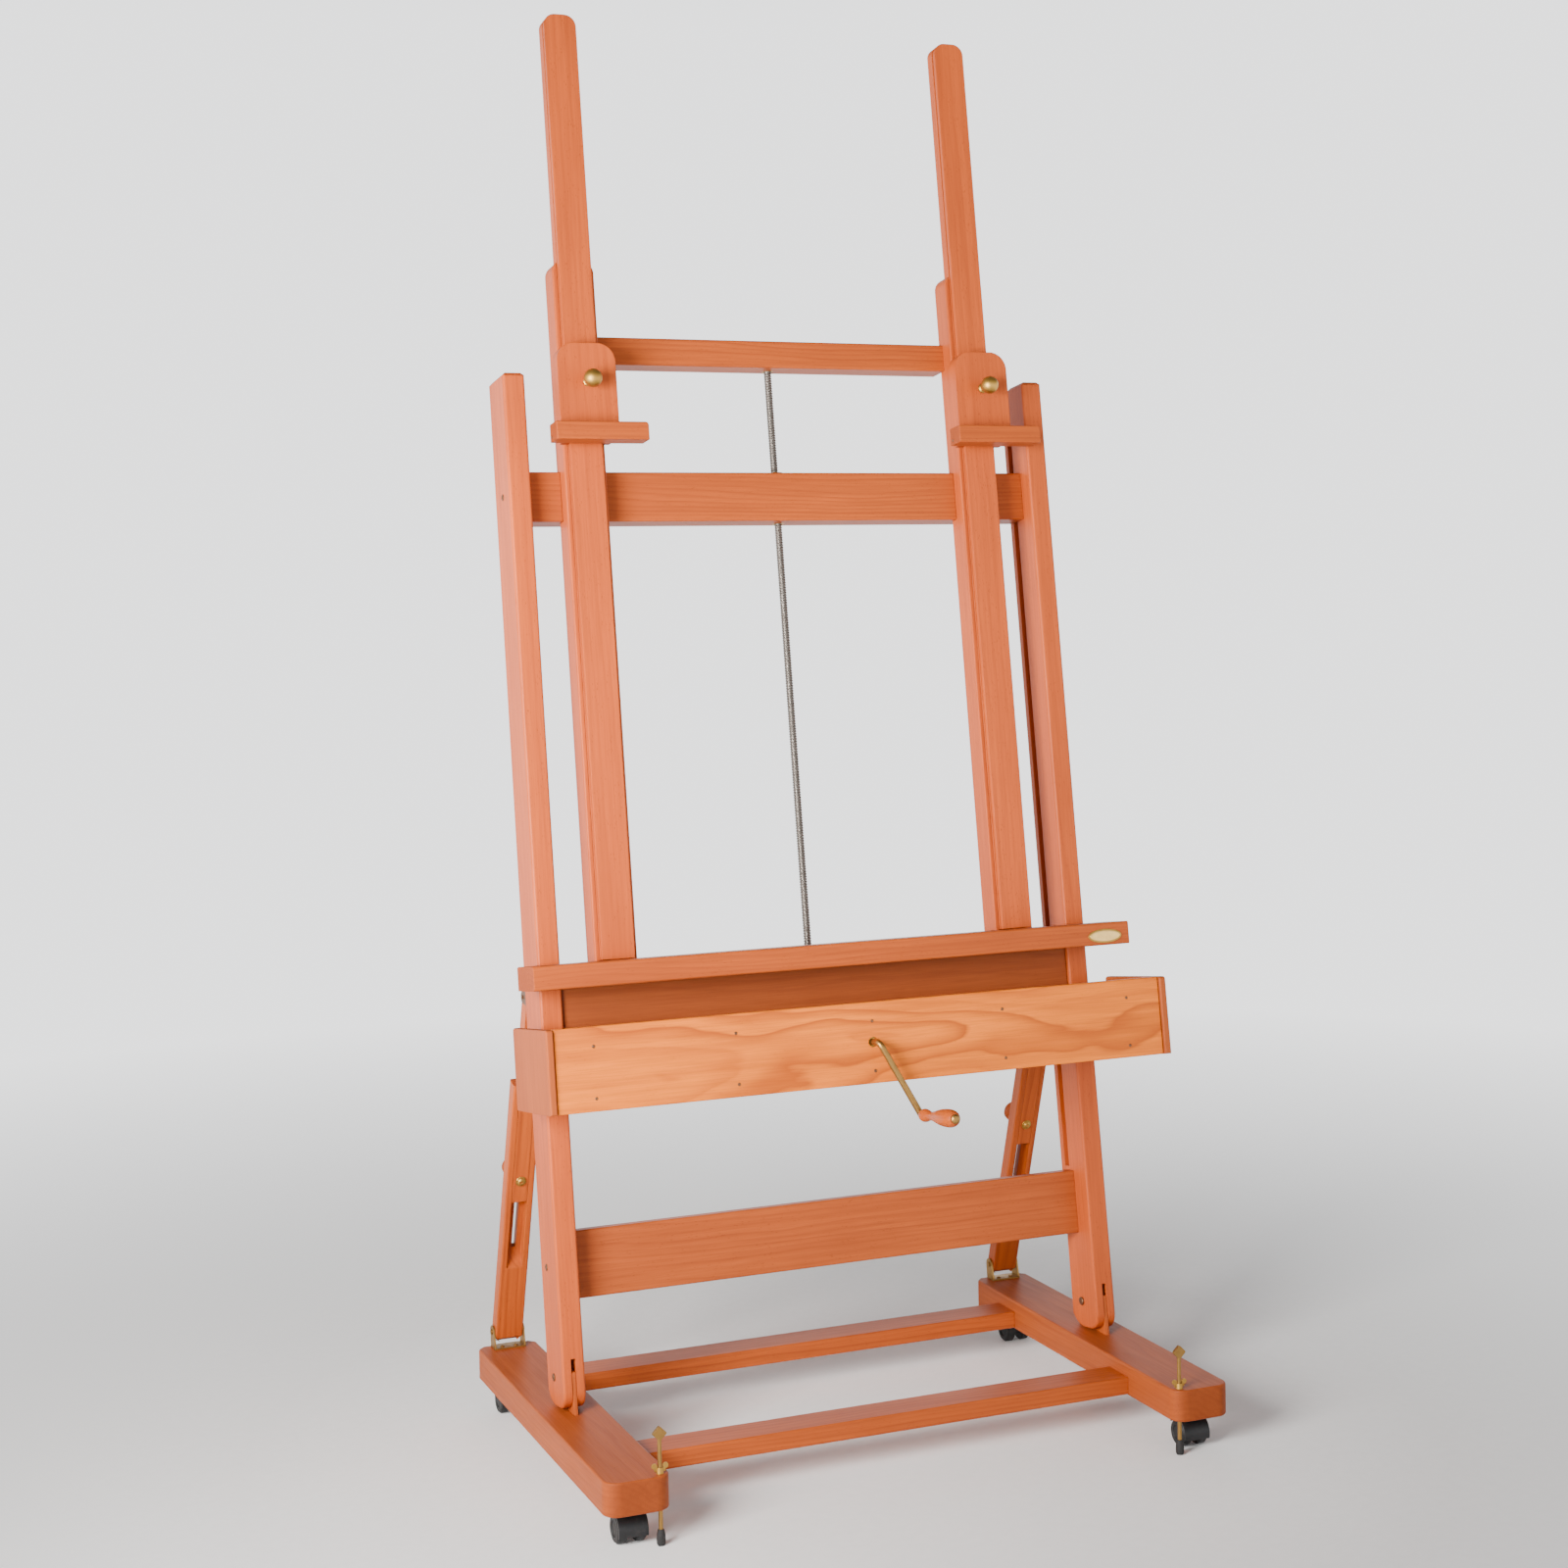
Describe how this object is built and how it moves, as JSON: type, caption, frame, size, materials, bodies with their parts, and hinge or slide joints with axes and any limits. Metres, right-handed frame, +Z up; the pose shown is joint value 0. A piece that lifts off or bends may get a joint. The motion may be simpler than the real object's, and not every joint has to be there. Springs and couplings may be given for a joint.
{
  "type": "studio easel",
  "caption": "Floor-standing wooden H-frame studio easel on casters: tilting frame, crank-lifted carriage with ledge and tray, sliding slats with canvas clamps.",
  "frame": {"origin": "on the floor at the centre of the whole footprint: bottom centre of the bounding box in height, on the plane of symmetry", "axes": "+X to the right seen from the front, +Y to the rear, +Z up"},
  "size_m": [0.996, 0.6543, 2.1713],
  "materials": {
    "beech_frame": "oiled beech, satin",
    "beech_rails": "oiled beech, satin",
    "beech_tray": "lightly oiled beech, satin",
    "grip_wood": "turned and waxed",
    "brass": "polished",
    "zinc_steel": "zinc plated",
    "cast_zinc": "as cast",
    "black_plastic": "moulded",
    "black_rubber": "matt"
  },
  "bodies": {
    "base": {"left_foot": "beech_frame", "right_foot": "beech_frame", "front_stretcher": "beech_rails", "rear_stretcher": "beech_rails", "post_tongues": "beech_frame", "strut_foot_brackets": "brass", "base_screws": "zinc_steel", "caster_stems": "zinc_steel"},
    "tilting_frame": {"left_outer_post": "beech_frame", "right_outer_post": "beech_frame", "lower_board": "beech_rails", "upper_crossbar": "beech_rails", "rod_nut": "brass", "frame_bolts": "zinc_steel", "strut_top_brackets": "brass"},
    "carriage": {"left_mast": "beech_frame", "right_mast": "beech_frame", "top_bar": "beech_rails", "shaft_bushes": "brass", "canvas_ledge": "beech_rails", "badge_plate": "brass", "back_board": "beech_rails", "tray_front_board": "beech_tray", "tray_side_panels": "beech_tray", "tray_bottom": "beech_tray", "tray_screws": "zinc_steel", "gearbox_housing": "cast_zinc"},
    "lift_rod": {"threaded_rod": "zinc_steel", "rod_bevel_gear": "zinc_steel"},
    "crank": {"crank_arm": "brass", "crank_bevel_gear": "zinc_steel"},
    "grip": {"crank_grip": "grip_wood"},
    "left_slat": {"left_slat": "beech_frame"},
    "left_clamp": {"left_clamp_block": "beech_rails", "left_clamp_bar": "beech_rails"},
    "left_clamp_knob": {"left_clamp_knob": "brass"},
    "left_strut_lower": {"left_strut_lower": "beech_rails"},
    "left_strut_upper": {"left_strut_upper": "beech_rails"},
    "left_strut_knob": {"left_strut_knob": "beech_rails"},
    "left_leveller_tip": {"left_leveller_tip": "black_rubber"},
    "left_leveller_screw": {"left_leveller_screw": "brass"},
    "left_wing_nut": {"left_leveller_wing_nut": "brass"},
    "right_slat": {"right_slat": "beech_frame"},
    "right_clamp": {"right_clamp_block": "beech_rails", "right_clamp_bar": "beech_rails"},
    "right_clamp_knob": {"right_clamp_knob": "brass"},
    "right_strut_lower": {"right_strut_lower": "beech_rails"},
    "right_strut_upper": {"right_strut_upper": "beech_rails"},
    "right_strut_knob": {"right_strut_knob": "beech_rails"},
    "right_leveller_tip": {"right_leveller_tip": "black_rubber"},
    "right_leveller_screw": {"right_leveller_screw": "brass"},
    "right_wing_nut": {"right_leveller_wing_nut": "brass"},
    "front_left_caster": {"front_left_caster_hood": "black_plastic"},
    "front_left_wheels": {"front_left_caster_wheels": "black_plastic"},
    "front_right_caster": {"front_right_caster_hood": "black_plastic"},
    "front_right_wheels": {"front_right_caster_wheels": "black_plastic"},
    "rear_left_caster": {"rear_left_caster_hood": "black_plastic"},
    "rear_left_wheels": {"rear_left_caster_wheels": "black_plastic"},
    "rear_right_caster": {"rear_right_caster_hood": "black_plastic"},
    "rear_right_wheels": {"rear_right_caster_wheels": "black_plastic"}
  },
  "joints": [
    {"name": "frame_tilt", "type": "hinge", "parent": "base", "child": "tilting_frame", "pos_m": [0, 0.00662, 0.14125], "axis": [-1, 0, 0], "range_deg": [-10, 8]},
    {"name": "carriage_lift", "type": "slide", "parent": "tilting_frame", "child": "carriage", "axis": [0, 0.1392, 0.9903], "range_m": [-0.144, 0.6]},
    {"name": "crank_turn", "type": "hinge", "parent": "carriage", "child": "crank", "pos_m": [0, 0.02483, 0.59412], "axis": [0, 0.9903, -0.1392], "range_deg": [-6480, 27000]},
    {"name": "rod_spin", "type": "hinge", "parent": "carriage", "child": "lift_rod", "pos_m": [0, 0.0882, 0.58522], "axis": [0, 0.1392, 0.9903], "range_deg": [-6480, 27000]},
    {"name": "grip_spin", "type": "hinge", "parent": "crank", "child": "grip", "pos_m": [0.0582, -0.2282, 0.51821], "axis": [0, -0.9903, 0.1392], "continuous": true},
    {"name": "left_slat_slide", "type": "slide", "parent": "carriage", "child": "left_slat", "axis": [0, 0.1392, 0.9903], "range_m": [0, 0.85]},
    {"name": "left_clamp_slide", "type": "slide", "parent": "left_slat", "child": "left_clamp", "axis": [0, 0.1392, 0.9903], "range_m": [-0.68, 0.5]},
    {"name": "left_clamp_knob_turn", "type": "hinge", "parent": "left_clamp", "child": "left_clamp_knob", "pos_m": [-0.332, 0.10908, 1.60322], "axis": [0, -0.9903, 0.1392], "range_deg": [0, 720]},
    {"name": "left_strut_hinge", "type": "hinge", "parent": "base", "child": "left_strut_lower", "pos_m": [-0.438, 0.316, 0.123], "axis": [-1, 0, 0], "range_deg": [-8.2, 6.6]},
    {"name": "left_strut_extend", "type": "slide", "parent": "left_strut_lower", "child": "left_strut_upper", "axis": [0, -0.3073, 0.9516], "range_m": [-0.0415, 0.0515]},
    {"name": "left_strut_knob_turn", "type": "hinge", "parent": "left_strut_upper", "child": "left_strut_knob", "pos_m": [-0.438, 0.2318, 0.38374], "axis": [0, 0.9516, 0.3073], "range_deg": [-360, 0]},
    {"name": "left_leveller_travel", "type": "slide", "parent": "base", "child": "left_leveller_tip", "axis": [0, 0, 1], "range_m": [0, 0.026]},
    {"name": "left_leveller_turn", "type": "hinge", "parent": "left_leveller_tip", "child": "left_leveller_screw", "pos_m": [-0.4045, -0.3105, 0.1], "axis": [0, 0, 1], "range_deg": [0, 9360]},
    {"name": "left_wing_nut_turn", "type": "hinge", "parent": "base", "child": "left_wing_nut", "pos_m": [-0.4045, -0.3105, 0.1], "axis": [0, 0, 1], "range_deg": [0, 360]},
    {"name": "right_slat_slide", "type": "slide", "parent": "carriage", "child": "right_slat", "axis": [0, 0.1392, 0.9903], "range_m": [0, 0.85]},
    {"name": "right_clamp_slide", "type": "slide", "parent": "right_slat", "child": "right_clamp", "axis": [0, 0.1392, 0.9903], "range_m": [-0.68, 0.5]},
    {"name": "right_clamp_knob_turn", "type": "hinge", "parent": "right_clamp", "child": "right_clamp_knob", "pos_m": [0.332, 0.10908, 1.60322], "axis": [0, -0.9903, 0.1392], "range_deg": [0, 720]},
    {"name": "right_strut_hinge", "type": "hinge", "parent": "base", "child": "right_strut_lower", "pos_m": [0.438, 0.316, 0.123], "axis": [-1, 0, 0], "range_deg": [-8.2, 6.6]},
    {"name": "right_strut_extend", "type": "slide", "parent": "right_strut_lower", "child": "right_strut_upper", "axis": [0, -0.3073, 0.9516], "range_m": [-0.0415, 0.0515]},
    {"name": "right_strut_knob_turn", "type": "hinge", "parent": "right_strut_upper", "child": "right_strut_knob", "pos_m": [0.438, 0.2318, 0.38374], "axis": [0, 0.9516, 0.3073], "range_deg": [-360, 0]},
    {"name": "right_leveller_travel", "type": "slide", "parent": "base", "child": "right_leveller_tip", "axis": [0, 0, 1], "range_m": [0, 0.026]},
    {"name": "right_leveller_turn", "type": "hinge", "parent": "right_leveller_tip", "child": "right_leveller_screw", "pos_m": [0.4045, -0.3105, 0.1], "axis": [0, 0, 1], "range_deg": [0, 9360]},
    {"name": "right_wing_nut_turn", "type": "hinge", "parent": "base", "child": "right_wing_nut", "pos_m": [0.4045, -0.3105, 0.1], "axis": [0, 0, 1], "range_deg": [0, 360]},
    {"name": "front_left_caster_swivel", "type": "hinge", "parent": "base", "child": "front_left_caster", "pos_m": [-0.44, -0.288, 0.05], "axis": [0, 0, 1], "continuous": true},
    {"name": "front_left_wheel_roll", "type": "hinge", "parent": "front_left_caster", "child": "front_left_wheels", "pos_m": [-0.44, -0.279, 0.02], "axis": [1, 0, 0], "continuous": true},
    {"name": "front_right_caster_swivel", "type": "hinge", "parent": "base", "child": "front_right_caster", "pos_m": [0.44, -0.288, 0.05], "axis": [0, 0, 1], "continuous": true},
    {"name": "front_right_wheel_roll", "type": "hinge", "parent": "front_right_caster", "child": "front_right_wheels", "pos_m": [0.44, -0.279, 0.02], "axis": [1, 0, 0], "continuous": true},
    {"name": "rear_left_caster_swivel", "type": "hinge", "parent": "base", "child": "rear_left_caster", "pos_m": [-0.44, 0.288, 0.05], "axis": [0, 0, 1], "continuous": true},
    {"name": "rear_left_wheel_roll", "type": "hinge", "parent": "rear_left_caster", "child": "rear_left_wheels", "pos_m": [-0.44, 0.297, 0.02], "axis": [1, 0, 0], "continuous": true},
    {"name": "rear_right_caster_swivel", "type": "hinge", "parent": "base", "child": "rear_right_caster", "pos_m": [0.44, 0.288, 0.05], "axis": [0, 0, 1], "continuous": true},
    {"name": "rear_right_wheel_roll", "type": "hinge", "parent": "rear_right_caster", "child": "rear_right_wheels", "pos_m": [0.44, 0.279, 0.02], "axis": [1, 0, 0], "continuous": true}
  ],
  "couplings": [
    {"joint": "carriage_lift", "follows": "crank_turn", "m_per_rad": 0.0012732},
    {"joint": "rod_spin", "follows": "crank_turn", "ratio": 1},
    {"joint": "left_strut_hinge", "follows": "frame_tilt", "ratio": 0.8},
    {"joint": "left_strut_extend", "follows": "frame_tilt", "m_per_rad": -0.28934},
    {"joint": "left_leveller_travel", "follows": "left_leveller_turn", "m_per_rad": 0.00015915},
    {"joint": "right_strut_hinge", "follows": "frame_tilt", "ratio": 0.8},
    {"joint": "right_strut_extend", "follows": "frame_tilt", "m_per_rad": -0.28934},
    {"joint": "right_leveller_travel", "follows": "right_leveller_turn", "m_per_rad": 0.00015915}
  ]
}
